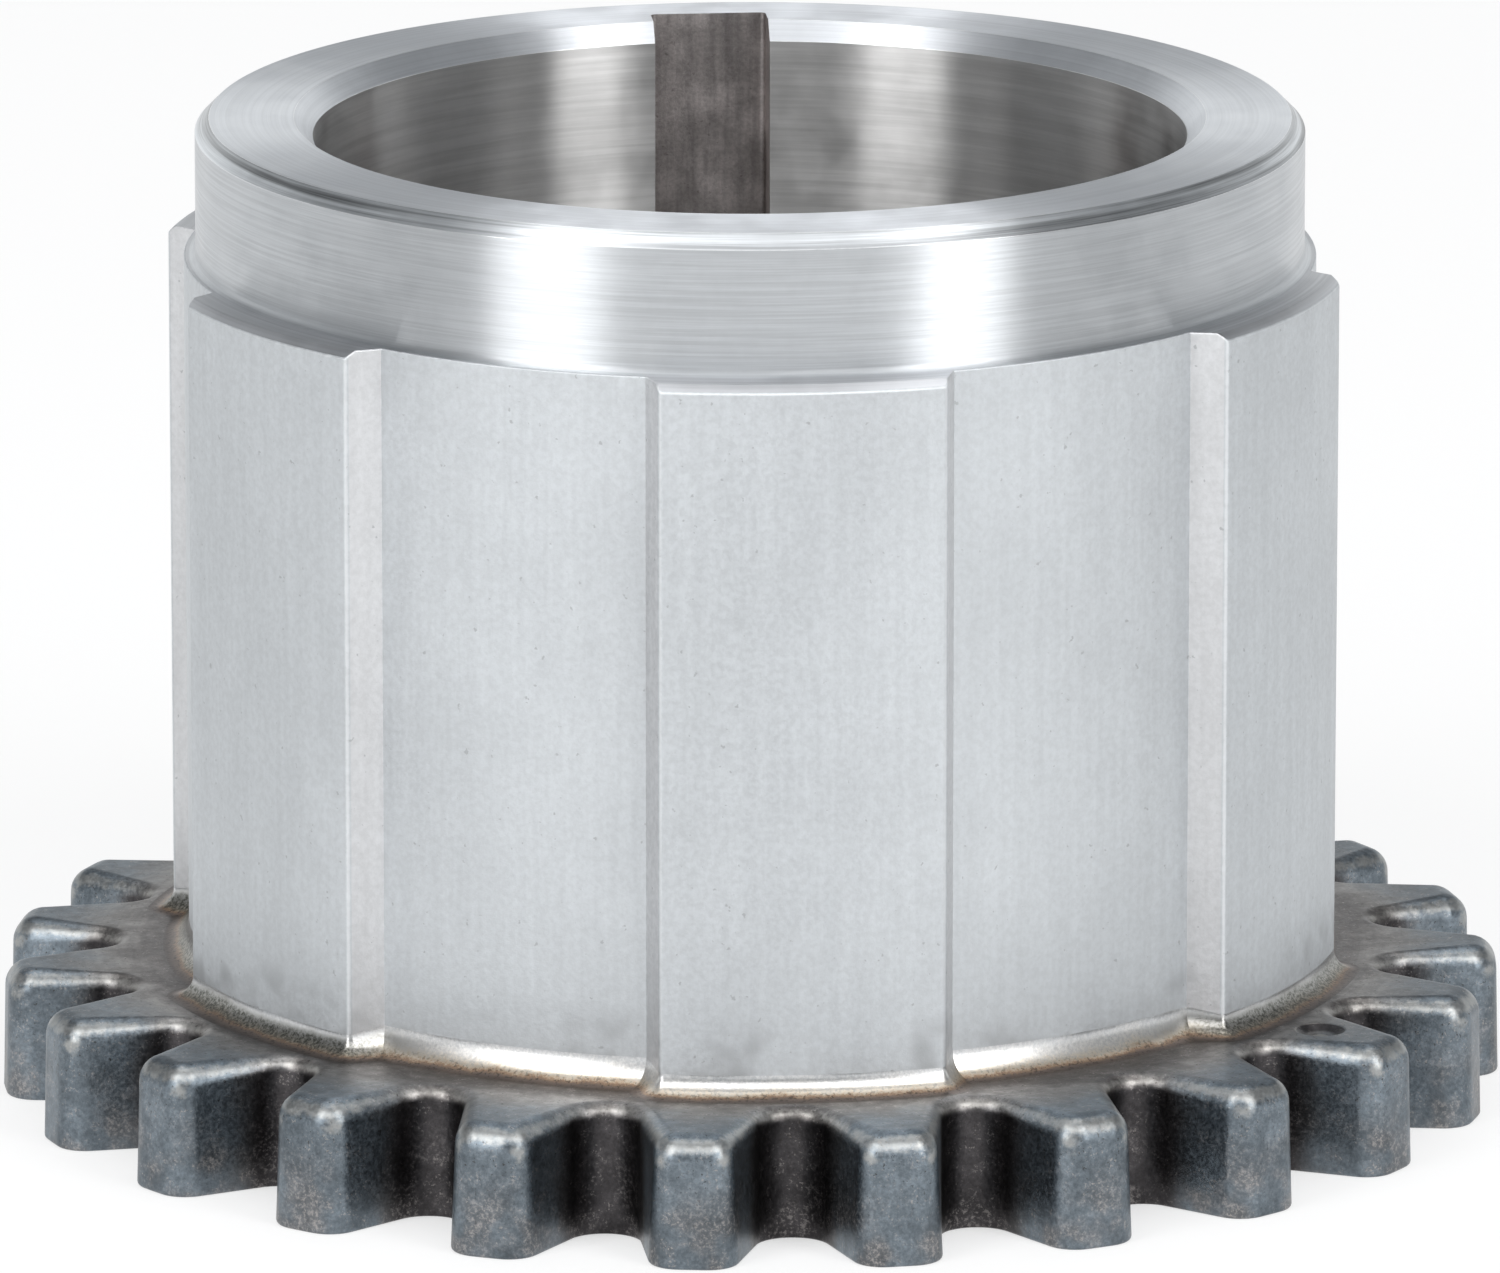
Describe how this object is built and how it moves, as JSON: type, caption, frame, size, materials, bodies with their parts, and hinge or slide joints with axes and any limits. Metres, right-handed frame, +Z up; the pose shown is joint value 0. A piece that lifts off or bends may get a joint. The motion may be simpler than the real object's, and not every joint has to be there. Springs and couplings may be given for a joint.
{
  "type": "crankshaft sprocket",
  "caption": "Steel crankshaft sprocket: a toothed rim at the foot of a tall splined barrel, with a plain collar on top and a keyed bore from end to end.",
  "frame": {"origin": "centre of the bottom face, on the bore axis", "axes": "+Z up along the bore from the toothed end to the collar, +Y towards the keyway"},
  "size_m": [0.064, 0.064, 0.0417],
  "materials": {
    "steel": "bright fine-turned collar and bore, pale satin lands and grooves, blue-grey oxide on the teeth with straw and brown heat tint at the barrel's foot"
  },
  "bodies": {
    "root": {"crankshaft_sprocket": "steel"}
  },
  "joints": []
}
